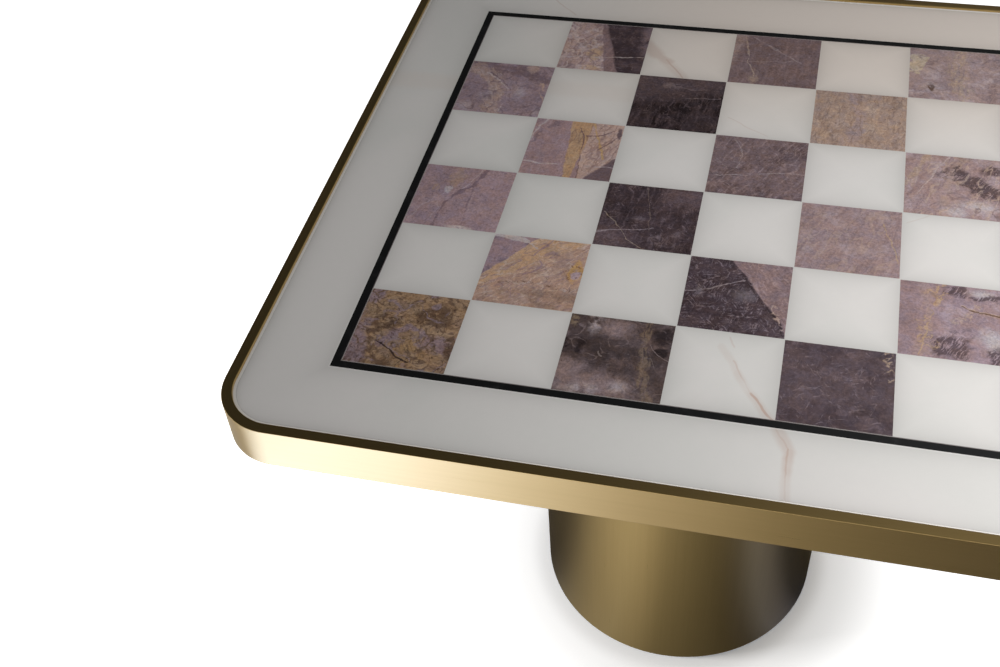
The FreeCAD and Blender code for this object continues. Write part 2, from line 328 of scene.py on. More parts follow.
def choose(kind, test):
    """In edit mode, selects the faces or edges that pass a test, and no others."""
    bpy.ops.mesh.select_mode(type=kind)
    bpy.ops.mesh.select_all(action="DESELECT")
    mesh = bmesh.from_edit_mesh(bpy.context.object.data)
    items = mesh.faces if kind == "FACE" else mesh.edges
    for item in items:
        item.select_set(bool(test(item)))
    bmesh.update_edit_mesh(bpy.context.object.data)


def start_plate(x, y, half):
    """In edit mode, a square plate a hair below the polished surface."""
    bpy.ops.object.select_all(action="DESELECT")
    bpy.ops.mesh.primitive_plane_add(size=2 * half, location=(x, y, surface - joint_flush))
    bpy.ops.object.mode_set(mode="EDIT")


def hang(width, depth):
    """Cuts the plate down to a ring along its edge, and gives the ring its depth."""
    bpy.ops.mesh.inset(thickness=width)
    bpy.ops.mesh.delete(type="FACE")
    bpy.ops.mesh.select_all(action="SELECT")
    bpy.ops.mesh.extrude_region_move(TRANSFORM_OT_translate={"value": (0, 0, -depth)})
    bpy.ops.mesh.select_all(action="SELECT")
    bpy.ops.mesh.normals_make_consistent(inside=False)


def add_joint(x, y, half):
    """A square ring of resin in the gap just outside a half width."""
    start_plate(x, y, half + joint_gap)
    hang(joint_gap, joint_depth)
    bpy.ops.object.mode_set(mode="OBJECT")
    return bpy.context.object


def inner_foot(edge):
    """True for the lower edge on the inner side of a ring."""
    inward = [face for face in edge.link_faces if face.normal.dot(face.calc_center_median()) < 0]
    walls = [face for face in inward if abs(face.normal.z) < 0.5]
    floors = [face for face in edge.link_faces if face.normal.z < -0.5]
    return walls and floors


def add_bead():
    """A round-cornered ring of resin, its lower inner edge cut off beside the slab's chamfer."""
    start_plate(0, 0, bead_half)
    bpy.ops.mesh.bevel(offset=bead_corner, segments=bead_segments, affect="VERTICES")
    choose("FACE", lambda face: True)
    hang(bead_width, bead_depth)
    choose("EDGE", inner_foot)
    bpy.ops.mesh.bevel(offset=bead_slope, segments=1, affect="EDGES")
    bpy.ops.object.mode_set(mode="OBJECT")
    return bpy.context.object


def pale_resin():
    """Ivory resin, whiter in the rim as a painted highlight, and tinted black along the inner
    edge of the black line.
    """
    ivory = (0.72, 0.69, 0.64)
    light_ivory = (0.80, 0.77, 0.72)
    white = (0.95, 0.92, 0.88)
    black = (0.02, 0.018, 0.018)
    finish = new_finish("pale_resin")
    place = finish.coordinates()
    clouds = finish.noise(place, 90)
    colour = finish.mix(clouds, ivory, light_ivory)
    axes = finish.split(place)
    outward = abs(axes) | abs(axes.other("Y"))
    # Painted highlight: the rim of resin beside the bar is whiter, in place of the light its
    # chamfer catches
    colour = finish.mix(outward.rise(line_outer + 0.01, line_outer + 0.03), colour, white)
    colour = finish.mix(beside_line(outward), colour, black)
    return finish.surface(colour, 0.16 + clouds * 0.06)


square_names = sorted(name for name in nodes if name.startswith("violet_square_"))
rings = [add_joint(0, 0, line_outer), add_joint(0, 0, line_inner - joint_gap)]
for name in square_names:
    low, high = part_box(name)
    middle = (low + high) / 2
    rings.append(add_joint(middle.x, middle.y, high.x - middle.x))
rings.append(add_bead())
for ring in rings:
    ring.select_set(True)
bpy.ops.object.join()
inlay_joints = settle(bpy.context.object, "inlay_joints")
inlay_joints.data.materials.append(pale_resin())
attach(inlay_joints, "table")

# Dark squares
# Eighteen squares of a violet and ochre marble, sawn from different parts of the block, so each
# has its own figure. They are glued into their pockets and polished flush with the slab.
ink = (0.036, 0.024, 0.027)
umber = (0.135, 0.078, 0.058)
chalk = (0.62, 0.53, 0.53)


class Marble(Finish):
    """The figure of one dark square, laid on in layers. Places and widths on the square are in
    hundredths of its side, from its middle."""

    def __init__(self, square, ground, warp=0.10):
        self.piece = "violet_square_" + square
        super().__init__(bpy.data.materials.new(self.piece))
        low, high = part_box(self.piece)
        middle = (low + high) / 2
        layer = square_names.index(self.piece) + 0.5
        centre = (middle.x, middle.y, high.z - layer * square_size)
        on_square = self.mapped(self.coordinates(), centre, sizes=(square_size,) * 3)
        folded = self.warped(self.warped(on_square, 2.6, warp), 9, 0.055, detail=5)
        self.place = self.warped(folded, 34, 0.016, detail=3)
        self.flat = self.vectors("MULTIPLY", self.place, (1, 1, 0))
        self.broad = self.noise(self.place, 5, 6, 0.66)
        self.fine = self.noise(self.place, 38, 6, 0.78)
        self.colour = ground

    def sweep(self, facing, distance, soft):
        """1 beyond a line, at a distance from the middle, that faces one way in degrees."""
        turn = radians(facing)
        across = self.vectors("DOT_PRODUCT", self.flat, (cos(turn), sin(turn), 0))
        return across.rise((distance - soft) / 100, (distance + soft) / 100)

    def patches(self, *ovals, soft=0.3):
        """1 inside any of some ovals, each given by its middle, half width and half depth."""
        ragged = (self.broad - 0.5) * 3
        inner = (
            self.mapped(self.flat, (x / 100, y / 100, 0), sizes=(width / 100, depth / 100, 1))
            for x, y, width, depth in ovals
        )
        reaches = (self.vectors("LENGTH", oval) + ragged for oval in inner)
        return joined(reach.rise(1 + soft, 1 - soft) for reach in reaches)

    def line(self, half_width, *points):
        """1 along a line through some points, thicker in some places than in others."""
        half_width = half_width / 100
        uneven = (self.broad - 0.5) * (half_width * 5)
        turns = [(x / 100, y / 100) for x, y in points]
        runs = zip(turns, turns[1:])
        return joined(self.stroke(self.flat, *run, half_width, uneven) for run in runs)

    def cloud(self, scale, low, high):
        """1 in the thick parts of a noise."""
        return self.noise(self.place, scale, 5, 0.6).rise(low, high)

    def moss(self, low, high, scale=15):
        """Fine grains and gaps, as in iron-stained stone."""
        return self.noise(self.place, scale, 6, 0.72, distortion=0.5).rise(low, high)

    def drawn_out(self, facing, share=0.16):
        """Coordinates that draw a noise out along one way."""
        return self.mapped(self.place, turn=radians(facing), sizes=(1, share, 1))

    def grain(self, facing, low, high, scale=5):
        """Streaks that run one way."""
        return self.noise(self.drawn_out(facing), scale, 5, 0.66).rise(low, high)

    def contour(self, noise, count, half_width):
        """Thin lines where a noise, counted up in steps, passes the middle of a step."""
        level = (noise * count).maths("FRACT")
        return abs(level - 0.5).rise(half_width, half_width * 0.3)

    def strands(self, facing, scale, count, half_width=0.12, share=0.3):
        """Thin lines that run one way side by side, as in a banded stone."""
        noise = self.noise(self.drawn_out(facing, share), scale, 2)
        return self.contour(noise, count, half_width)

    def contours(self, scale, count, half_width):
        """Lines of equal height in a noise, like those of an agate."""
        noise = self.noise(self.place, scale, 2, 0.45, distortion=0.3)
        return self.contour(noise, count, half_width)

    def scratches(self, scale=2.6, half_width=0.09):
        """Short thin lines, three ways."""
        return joined(
            self.strands(facing, scale, 4, half_width, share=0.12)
            * self.noise(self.place, scale * 3 + facing / 60, 3, 0.6).rise(0.50, 0.60)
            for facing in (18, 74, 131)
        )

    def crackle(self, half_width, *points):
        """Fine threads that cross each other within reach of a line."""
        threads = abs(self.noise(self.place, 8, 4, 0.6, distortion=0.4) - 0.5)
        threads = threads.rise(0.045, 0.012)
        return self.line(half_width, *points) * threads

    def lay(self, colour, mask, strength=1):
        self.colour = self.mix(mask * strength, self.colour, colour)

    def vein(self, colour, strength, half_width, *points):
        """Lays one line of a colour."""
        self.lay(colour, self.line(half_width, *points), strength)

    def polish(self, contrast):
        """Adds the crystal grain and gives the square its material."""
        blue = (0.96, 1.0, 1.06)
        yellow = (1.05, 1.0, 0.92)
        tint = self.mix(self.noise(self.place, 9, 5, 0.7).rise(0.36, 0.64), blue, yellow)
        fine = (self.fine - 0.5) * (contrast * 3)
        tone = 1 + fine + (self.broad - 0.5) * (contrast * 1.2)
        colour = self.vectors("SCALE", self.vectors("MULTIPLY", self.colour, tint), tone)
        dress(self.surface(colour, 0.07 + self.fine * 0.05), self.piece)


# Square a1: ochre, with moss-like brown iron stains and lilac islands
stone = Marble("a1", (0.34, 0.222, 0.138))
stone.lay((0.27, 0.18, 0.135), stone.cloud(4, 0.46, 0.58), 0.8)
stone.lay((0.43, 0.285, 0.18), stone.grain(0, 0.5, 0.6), 0.7)
islands = stone.patches((-44, -25, 14, 30), (30, -14, 13, 12), (-45, 42, 10, 14))
islands = islands | stone.line(5, (-24, -24), (-12, -4), (2, 3), (28, -6))
stone.lay((0.31, 0.22, 0.24), islands, 0.9)
stone.lay((0.23, 0.155, 0.165), islands * stone.cloud(8, 0.5, 0.6), 0.7)
stains = stone.patches((23, 20, 17, 19), (-25, 6, 15, 8), (46, -12, 5, 16))
stains = stains | stone.line(8.5, (-33, -6), (-32, -24), (-24, -38), (-12, -50))
shield = stone.patches((10, -30, 20, 20))
stone.lay((0.4, 0.25, 0.13), shield * stone.cloud(6, 0.4, 0.54), 0.7)
stone.lay((0.15, 0.09, 0.06), stains * stone.moss(0.34, 0.48), 0.92)
stone.lay((0.2, 0.125, 0.085), shield * stone.strands(-55, 2.4, 7), 0.75)
stone.lay((0.16, 0.1, 0.07), stone.contours(4.5, 6, 0.17) * stone.cloud(2.6, 0.36, 0.48), 0.85)
stone.lay((0.31, 0.23, 0.25), stone.contours(3.3, 5, 0.14) * stone.cloud(3.8, 0.46, 0.56), 0.8)
stone.lay((0.1, 0.06, 0.045), stone.moss(0.56, 0.62, 24), 0.85)
stone.lay((0.5, 0.34, 0.21), stone.moss(0.6, 0.67, 17), 0.7)
stone.vein(ink, 0.9, 0.8, (-28, -20), (-12, -27), (0, -35), (13, -42))
stone.polish(0.8)

# Square c1: smoky plum with soft pale clouds and an ochre streak
stone = Marble("c1", (0.085, 0.06, 0.059), 0.14)
stone.lay((0.15, 0.106, 0.105), stone.cloud(3, 0.44, 0.6), 0.8)
clouds = stone.patches((-10, -38, 36, 13), (-40, -24, 13, 12), (-5, 37, 13, 11), soft=0.7)
stone.lay((0.3, 0.218, 0.218), clouds, 0.9)
bright = stone.patches((-26, 40, 7, 10), (-27, -44, 12, 5), (10, -36, 8, 6), soft=0.8)
stone.lay((0.43, 0.35, 0.35), bright * stone.cloud(7, 0.34, 0.5), 0.9)
stone.vein((0.055, 0.04, 0.041), 0.55, 12, (-22, 18), (5, 8), (42, 0))
shades = stone.patches((-42, 11, 11, 12), (40, 33, 10, 14), (42, 13, 6, 7), soft=0.4)
stone.lay((0.028, 0.019, 0.02), shades * stone.cloud(6, 0.34, 0.5), 0.92)
streak = stone.line(5.5, (26, 48), (27, 5), (35, -48))
stone.lay((0.22, 0.155, 0.115), streak * stone.grain(92, 0.38, 0.56, 6), 0.8)
stone.lay((0.25, 0.18, 0.12), stone.patches((-45, 42, 5, 8)) * stone.moss(0.38, 0.5), 0.8)
stone.lay((0.24, 0.18, 0.18), stone.contours(2.6, 7, 0.08) * stone.cloud(3.4, 0.46, 0.58), 0.5)
stone.vein((0.3, 0.24, 0.25), 0.6, 0.6, (31, 22), (38, 9), (49, 1))
stone.vein((0.24, 0.19, 0.19), 0.5, 0.5, (10, 5), (32, 2), (42, -14))
stone.vein(chalk, 0.25, 0.4, (-16, 4), (-12, -2))
stone.lay(ink, stone.moss(0.62, 0.68, 20), 0.6)
stone.polish(0.8)

# Square e1: violet plum with pale scratches
stone = Marble("e1", (0.105, 0.074, 0.084))
stone.lay((0.07, 0.048, 0.057), stone.cloud(3, 0.46, 0.6), 0.85)
stone.lay((0.15, 0.108, 0.122), stone.cloud(4.4, 0.52, 0.64), 0.7)
stone.lay((0.24, 0.185, 0.205), stone.scratches(1.8, 0.06), 0.6)
stone.lay((0.25, 0.19, 0.21), stone.moss(0.62, 0.69, 22), 0.5)
stone.lay((0.38, 0.28, 0.22), stone.crackle(4, (42, 46), (45, 32), (46, 16)), 0.85)
stone.polish(0.65)

# Square b2: tan and ochre bands below a lilac corner
stone = Marble("b2", (0.44, 0.29, 0.238), 0.07)
stone.lay((0.53, 0.36, 0.28), stone.grain(45, 0.46, 0.58, 4), 0.8)
bands = stone.sweep(129.4, 8, 3)
stone.lay((0.57, 0.37, 0.235), bands * stone.grain(40, 0.36, 0.54, 3), 0.9)
stone.lay((0.35, 0.235, 0.235), stone.strands(42, 2, 6, 0.14), 0.75)
stone.lay((0.62, 0.47, 0.39), stone.strands(47, 2.7, 5, 0.11), 0.6)
brown = stone.patches((15, -38, 38, 12), (-30, -42, 14, 9), soft=0.6)
stone.lay((0.31, 0.205, 0.16), brown * stone.cloud(7, 0.4, 0.56), 0.85)
corner = stone.sweep(143.8, 32.5, 1)
stone.lay((0.37, 0.262, 0.295), corner)
stone.lay((0.25, 0.178, 0.21), corner * stone.cloud(6, 0.48, 0.6), 0.8)
stone.lay((0.46, 0.36, 0.38), corner * stone.moss(0.58, 0.66, 14), 0.7)
stone.lay((0.62, 0.42, 0.27), abs(corner - 0.5).rise(0.42, 0.2), 0.6)
stone.vein((0.6, 0.52, 0.52), 0.9, 3.5, (-50, 49), (-30, 47), (-13, 44))
stone.vein((0.6, 0.5, 0.48), 0.8, 1.2, (-14, 44), (-2, 34))
violet_lines = stone.line(1.3, (-19, -48), (-13, -38), (-17, -25))
violet_lines = violet_lines | stone.line(1.1, (-8, -6), (0, -2), (7, 12), (4, 16))
violet_lines = violet_lines | stone.line(0.9, (-4, 22), (6, 40), (12, 50))
stone.lay((0.33, 0.22, 0.25), violet_lines, 0.8)
rubble = stone.line(3, (-46, -24), (-20, -19), (1, -15), (40, -20))
stone.lay((0.58, 0.45, 0.41), rubble * stone.moss(0.5, 0.58, 13), 0.7)
stone.lay((0.17, 0.1, 0.075), rubble * stone.moss(0.53, 0.58, 19), 0.9)
stone.lay((0.55, 0.33, 0.14), stone.patches((42, 8, 6, 17)) * stone.moss(0.38, 0.48, 11), 0.95)
stone.lay((0.5, 0.37, 0.4), stone.patches((43, 0, 3.5, 5)))
stone.lay((0.2, 0.11, 0.07), stone.patches((40, 6, 6, 13)) * stone.moss(0.52, 0.57, 21), 0.9)
stone.lay((0.2, 0.12, 0.085), stone.moss(0.61, 0.66, 24), 0.7)
stone.polish(0.55)

# Square d2: dark plum full of fine pale scratches, with a mauve wedge at the back right
stone = Marble("d2", (0.058, 0.038, 0.044), 0.07)
stone.lay((0.09, 0.062, 0.072), stone.cloud(4, 0.46, 0.6), 0.8)
stone.lay((0.22, 0.185, 0.2), stone.patches((8, 0, 10, 8), (-36, 2, 4, 7), soft=0.9), 0.6)
stone.lay((0.29, 0.225, 0.25), stone.scratches(2.2, 0.1), 0.6)
stone.lay((0.24, 0.185, 0.205), stone.scratches(3.7, 0.12), 0.45)
stone.lay((0.32, 0.255, 0.275), stone.moss(0.6, 0.67, 24), 0.55)
wedge = stone.sweep(34, 20.5, 1) | stone.sweep(16, 34.5, 1)
stone.lay((0.275, 0.19, 0.197), wedge)
stone.lay((0.35, 0.255, 0.26), wedge * stone.grain(-60, 0.48, 0.62, 4), 0.8)
stone.lay((0.22, 0.15, 0.157), wedge * stone.strands(-58, 2, 4, 0.2), 0.5)
stone.vein((0.045, 0.03, 0.034), 0.7, 1, (5, 24), (24, -4), (40, -25), (46, -46))
stone.vein((0.34, 0.28, 0.3), 0.75, 0.9, (-50, -1), (-25, 7), (-5, 19), (5, 22))
stone.lay((0.46, 0.34, 0.31), stone.crackle(3, (36, -10), (41, -22), (45, -40)), 0.9)
stone.polish(0.8)

# Square f2: pinkish lilac with a crackled ochre vein and hatched dark patches
stone = Marble("f2", (0.315, 0.225, 0.245), 0.08)
stone.lay((0.275, 0.19, 0.2), stone.cloud(3, 0.46, 0.58) * (1 - stone.sweep(0, -10, 10)), 0.75)
stone.lay((0.39, 0.3, 0.33), stone.cloud(4, 0.5, 0.6) * stone.sweep(0, -14, 4), 0.75)
stone.lay((0.5, 0.455, 0.47), stone.patches((36, -20, 13, 12), (24, 42, 10, 5), soft=0.8), 0.8)
stone.vein((0.37, 0.26, 0.24), 0.7, 10, (-26, 48), (-22, 0), (-28, -48))
hatched = stone.patches((-1, -30, 20, 17), (41, -42, 13, 13), (4, 42, 11, 9))
hatched = hatched | stone.line(4, (14, 34), (40, 40))
stone.lay((0.1, 0.066, 0.074), hatched * stone.grain(60, 0.4, 0.5, 8), 0.9)
threads = stone.crackle(10, (-18, 48), (-17, 20), (-26, 0), (-24, -30))
threads = threads | stone.line(0.9, (-12, 32), (-20, 6), (-25, -20), (-30, -48))
stone.lay((0.46, 0.315, 0.2), threads, 0.85)
stone.vein((0.34, 0.215, 0.15), 0.6, 3, (-18, 34), (-17, 22))
stone.lay((0.46, 0.34, 0.29), stone.crackle(6, (-12, -10), (10, 10), (20, 26)), 0.7)
stone.vein((0.48, 0.335, 0.25), 0.6, 2.2, (5, 22), (25, 17), (50, 14))
stone.vein(umber, 0.9, 1, (5, 21.5), (25, 16.5), (50, 14))
stone.lay((0.25, 0.175, 0.185), stone.moss(0.6, 0.66, 20), 0.6)
stone.polish(0.6)

# Square a3: finely speckled lilac with one purple vein
stone = Marble("a3", (0.405, 0.282, 0.307), 0.08)
stone.lay((0.35, 0.25, 0.285), 1 - stone.sweep(12, -10, 6), 0.8)
stone.lay((0.45, 0.32, 0.34), stone.cloud(4, 0.5, 0.6), 0.6)
tan = stone.patches((-10, 33, 8, 15), (-32, 12, 4, 5))
stone.lay((0.45, 0.31, 0.26), tan * stone.grain(75, 0.36, 0.52, 6), 0.85)
stone.vein((0.235, 0.16, 0.19), 0.9, 3.6, (18, 50), (9, 22), (-6, 6), (-13, -10))
stone.vein((0.245, 0.168, 0.198), 0.85, 2, (-13, -10), (-17, -30), (-19, -50))
stone.vein((0.55, 0.44, 0.46), 0.7, 0.8, (13, 50), (4, 24), (-2, 14))
stone.lay((0.55, 0.47, 0.5), stone.patches((-18, 10, 4.5, 6)), 0.9)
pale_lines = stone.line(0.8, (-20, 6), (-24, -6), (-20, -20), (-24, -40))
pale_lines = pale_lines | stone.line(0.8, (-26, -2), (-38, -18), (-46, -42))
stone.lay((0.5, 0.41, 0.44), pale_lines, 0.7)
stone.vein((0.29, 0.2, 0.23), 0.8, 1, (10, 20), (9, -10), (12, -42))
stone.vein((0.52, 0.38, 0.37), 0.6, 0.6, (12, 10), (11, -10), (14, -34))
stone.lay(chalk, stone.patches((8, -48, 12, 3)), 0.8)
stone.lay((0.25, 0.175, 0.21), stone.moss(0.58, 0.63, 26), 0.75)
stone.lay((0.5, 0.375, 0.39), stone.moss(0.62, 0.68, 21), 0.6)
stone.polish(0.6)

# Square c3: dark plum with crossed pale hairlines
stone = Marble("c3", (0.058, 0.039, 0.044))
stone.lay((0.1, 0.068, 0.077), stone.cloud(2.6, 0.44, 0.6), 0.85)
lighter = stone.patches((34, 38, 20, 14), (-38, -38, 18, 13), soft=0.8)
stone.lay((0.155, 0.105, 0.112), lighter, 0.8)
stone.lay((0.14, 0.1, 0.112), stone.grain(85, 0.5, 0.64, 4), 0.6)
blots = stone.patches((10, -28, 8, 5), (20, -38, 9, 3), (-10, -5, 5, 3), (32, -24, 4, 4), soft=0.9)
stone.lay((0.21, 0.16, 0.178), blots * stone.moss(0.4, 0.58, 12), 0.8)
stone.vein((0.35, 0.28, 0.3), 0.75, 1.1, (-50, -31), (-22, -24), (6, -15))
stone.vein((0.36, 0.28, 0.23), 0.7, 0.6, (-47, 2), (-28, -20), (-16, -38), (2, -48))
stone.vein((0.2, 0.145, 0.13), 0.6, 0.7, (-10, 48), (-2, 16), (2, -10), (2, -30))
stone.lay((0.2, 0.15, 0.165), stone.scratches(), 0.45)
stone.lay((0.25, 0.19, 0.21), stone.moss(0.61, 0.68, 22), 0.6)
stone.polish(0.9)

# Square e3: pinkish lilac with ochre hairlines
stone = Marble("e3", (0.335, 0.24, 0.245))
stone.lay((0.27, 0.19, 0.195), stone.grain(72, 0.48, 0.6, 4), 0.7)
stone.lay((0.41, 0.31, 0.315), stone.cloud(4, 0.52, 0.62), 0.6)
stone.lay((0.44, 0.325, 0.28), stone.strands(68, 1.6, 3, 0.08), 0.4)
stone.vein((0.48, 0.34, 0.22), 0.7, 0.8, (30, 30), (40, 5), (46, -30))
stone.lay((0.22, 0.155, 0.165), stone.moss(0.6, 0.66, 20), 0.6)
stone.polish(0.6)

# Square b4: mauve at the left, then an ochre wedge, then tan with branching lines
stone = Marble("b4", (0.375, 0.255, 0.27), 0.07)
stone.lay((0.43, 0.305, 0.315), stone.grain(86, 0.48, 0.6, 4), 0.7)
stone.vein((0.27, 0.19, 0.215), 0.85, 3.5, (-46, 6), (-40, 28), (-26, 42))
stone.vein((0.53, 0.44, 0.44), 0.8, 1.8, (-49, 10), (-43, 34), (-37, 50))
right = stone.sweep(5, 10, 1)
stone.lay((0.5, 0.35, 0.31), right)
stone.lay((0.58, 0.43, 0.38), right * stone.grain(72, 0.48, 0.6, 4), 0.8)
stone.lay((0.33, 0.215, 0.2), right * stone.strands(76, 2, 5), 0.75)
wedge = stone.sweep(4, -5.5, 1) * (1 - stone.sweep(-6, 11.5, 1))
stone.lay((0.5, 0.315, 0.195), wedge)
stone.lay((0.56, 0.375, 0.24), wedge * stone.grain(84, 0.48, 0.6, 4), 0.7)
stone.lay((0.31, 0.19, 0.14), wedge * stone.strands(84, 2, 4), 0.65)
stone.vein((0.56, 0.36, 0.18), 0.85, 1.5, (17, 48), (24, 24), (29, 8), (35, -12))
branches = stone.line(0.8, (3, 40), (9, 22), (10, -5), (13, -30), (14, -48))
branches = branches | stone.line(1, (12, 24), (26, 26), (42, 40), (47, 49))
branches = branches | stone.line(0.8, (26, 2), (36, 12), (46, 30))
stone.lay((0.22, 0.14, 0.14), branches, 0.85)
dark = stone.sweep(-35, 45, 1.5) | stone.patches((46, 36, 3, 10))
stone.lay((0.16, 0.108, 0.12), dark, 0.95)
stone.vein((0.6, 0.5, 0.5), 0.8, 1.1, (-50, -27), (-28, -29), (-6, -28))
stone.vein((0.6, 0.48, 0.48), 0.7, 0.8, (30, -27), (50, -26))
stone.lay((0.24, 0.165, 0.185), stone.moss(0.6, 0.65, 24), 0.65)
stone.polish(0.55)

# Square d4: mid plum with white veins
stone = Marble("d4", (0.2, 0.138, 0.143))
stone.lay((0.12, 0.083, 0.09), stone.cloud(2.6, 0.46, 0.6), 0.8)
stone.lay((0.3, 0.22, 0.225), stone.grain(62, 0.5, 0.64, 4), 0.75)
stone.vein((0.42, 0.35, 0.36), 0.7, 0.8, (-42, -20), (-10, -16), (20, -10), (50, -4))
stone.vein((0.4, 0.33, 0.335), 0.55, 0.8, (-30, 48), (-18, 20), (-22, -5))
stone.lay((0.32, 0.25, 0.26), stone.scratches(), 0.5)
stone.polish(0.8)

# Square f4: rosy mauve with tan streaks and hatched dark patches
stone = Marble("f4", (0.375, 0.265, 0.26))
stone.lay((0.29, 0.2, 0.205), stone.grain(62, 0.46, 0.58, 3), 0.8)
stone.lay((0.45, 0.34, 0.345), stone.cloud(3.4, 0.5, 0.62), 0.75)
stone.lay((0.55, 0.475, 0.48), stone.patches((24, -30, 18, 8), (0, -42, 10, 6), soft=0.8), 0.85)
stone.vein((0.46, 0.33, 0.25), 0.7, 5, (-50, -2), (-38, 18), (-28, 48))
stone.vein((0.42, 0.3, 0.25), 0.6, 6, (-10, -30), (-4, 10), (10, 48))
hatched = stone.line(15, (6, 20), (22, 8), (38, -6))
hatched = hatched | stone.patches((36, 29, 12, 8))
hatched = hatched * (stone.grain(52, 0.44, 0.52, 8) | stone.moss(0.48, 0.55, 11))
stone.lay((0.1, 0.066, 0.07), hatched, 0.9)
stone.vein((0.54, 0.43, 0.41), 0.75, 0.8, (-36, -16), (-22, 10), (-16, 30), (-6, 48))
stone.lay((0.5, 0.37, 0.31), stone.strands(66, 1.8, 4, 0.1), 0.6)
stone.lay((0.24, 0.168, 0.173), stone.contours(3, 4, 0.12) * stone.cloud(3, 0.42, 0.54), 0.7)
stone.lay((0.25, 0.175, 0.18), stone.moss(0.6, 0.66, 20), 0.6)
stone.polish(0.6)

# Square a5: grey lilac, with a tan band that a pale and a dark line edge
stone = Marble("a5", (0.325, 0.235, 0.265), 0.09)
stone.lay((0.385, 0.285, 0.31), stone.cloud(3.4, 0.48, 0.6), 0.75)
stone.vein((0.22, 0.153, 0.175), 0.9, 12, (-40, 50), (8, 36), (50, 26))
stone.lay((0.33, 0.24, 0.27), stone.grain(-12, 0.5, 0.62, 4), 0.6)
band = stone.line(12, (-40, 34), (-18, 14), (-5, -12), (-4, -46))
stone.lay((0.46, 0.33, 0.3), band, 0.85)
stone.lay((0.51, 0.395, 0.38), band * stone.strands(-58, 2.4, 5, 0.16), 0.7)
stone.lay((0.28, 0.195, 0.22), band * stone.strands(-62, 1.9, 6, 0.12), 0.6)
stone.vein((0.58, 0.475, 0.475), 0.75, 0.8, (-28, 28), (-10, 15), (2, 0), (7, -22), (2, -44))
stone.vein((0.215, 0.148, 0.175), 0.75, 0.8, (-24, 28), (-7, 15), (5, 0), (10, -22))
ovals = ((-38, -40, 11, 9), (18, -7, 7, 11), (-20, -17, 8, 6), (45, -40, 4, 8))
blobs = stone.patches(*ovals, soft=0.7)
stone.lay((0.46, 0.375, 0.4), blobs * stone.cloud(5, 0.32, 0.56), 0.75)
stone.lay((0.47, 0.335, 0.305), stone.patches((25, 46, 7, 8)), 0.9)
rim = stone.line(3.5, (36, 18), (44, 8), (48, -30))
stone.lay((0.52, 0.36, 0.29), rim * stone.strands(-80, 2, 5, 0.3), 0.8)
stone.lay((0.22, 0.154, 0.18), stone.contours(2.8, 5, 0.13) * stone.cloud(3, 0.42, 0.54), 0.7)
stone.polish(0.6)

# Square c5: nearly black plum with a few pale marks
stone = Marble("c5", (0.022, 0.014, 0.015))
stone.lay((0.058, 0.039, 0.042), stone.cloud(3, 0.44, 0.58), 0.8)
stone.lay((0.125, 0.086, 0.092), stone.sweep(105, 14, 16), 0.7)
stone.lay((0.115, 0.08, 0.086), stone.grain(84, 0.5, 0.62, 4), 0.55)
mark = stone.patches((-10, 33, 10, 5), soft=0.6) * stone.moss(0.36, 0.54, 9)
stone.lay((0.22, 0.165, 0.17), mark, 0.8)
stone.vein((0.24, 0.185, 0.19), 0.6, 0.9, (-6, 10), (18, 12), (48, 16))
stone.vein((0.22, 0.165, 0.17), 0.6, 0.8, (2, 30), (18, 28), (30, 30))
stone.lay((0.17, 0.125, 0.132), stone.scratches(), 0.4)
stone.lay((0.19, 0.14, 0.15), stone.moss(0.61, 0.68, 22), 0.5)
stone.polish(0.9)

# Square e5: tan and ochre, striped with mauve from front to back
stone = Marble("e5", (0.43, 0.31, 0.255))
stone.lay((0.36, 0.26, 0.23), stone.grain(84, 0.46, 0.58, 4), 0.8)
stone.lay((0.49, 0.35, 0.27), stone.cloud(4, 0.5, 0.6), 0.8)
stone.vein((0.38, 0.285, 0.285), 0.8, 8, (-8, 48), (0, 0), (-6, -48))
stone.lay((0.27, 0.185, 0.15), stone.strands(82, 2, 5), 0.55)
stone.lay((0.2, 0.125, 0.085), stone.moss(0.6, 0.65, 20), 0.8)
stone.polish(0.6)

# Square b6: pink agate lines at the left, dark plum at the right
stone = Marble("b6", (0.45, 0.32, 0.315), 0.08)
stone.lay((0.53, 0.385, 0.35), stone.grain(80, 0.46, 0.58, 3), 0.75)
stone.lay((0.53, 0.365, 0.26), stone.patches((-11, -16, 8, 20), (-10, -43, 13, 6)), 0.85)
stone.lay((0.3, 0.205, 0.21), stone.contours(2.4, 7, 0.14) | stone.strands(78, 2, 5, 0.12), 0.75)
stone.lay((0.62, 0.49, 0.47), stone.contours(3.1, 5, 0.12), 0.65)
stone.lay((0.26, 0.175, 0.18), stone.sweep(12, -3, 1.2))
stone.lay((0.33, 0.23, 0.24), stone.sweep(12, -3, 1.2) * stone.grain(80, 0.48, 0.6, 4), 0.6)
night = stone.sweep(17, 7.5, 1.8)
stone.lay((0.065, 0.043, 0.049), night)
stone.lay((0.12, 0.082, 0.09), night * stone.cloud(4, 0.46, 0.6), 0.8)
haze = stone.patches((49, 22, 8, 30), soft=0.9) * stone.cloud(4, 0.34, 0.5)
stone.lay((0.25, 0.175, 0.19), haze, 0.85)
stone.vein((0.55, 0.46, 0.46), 0.7, 0.9, (-45, -25), (-2, -21), (49, -15))
stone.lay((0.2, 0.15, 0.16), night * stone.scratches(), 0.5)
stone.polish(0.6)

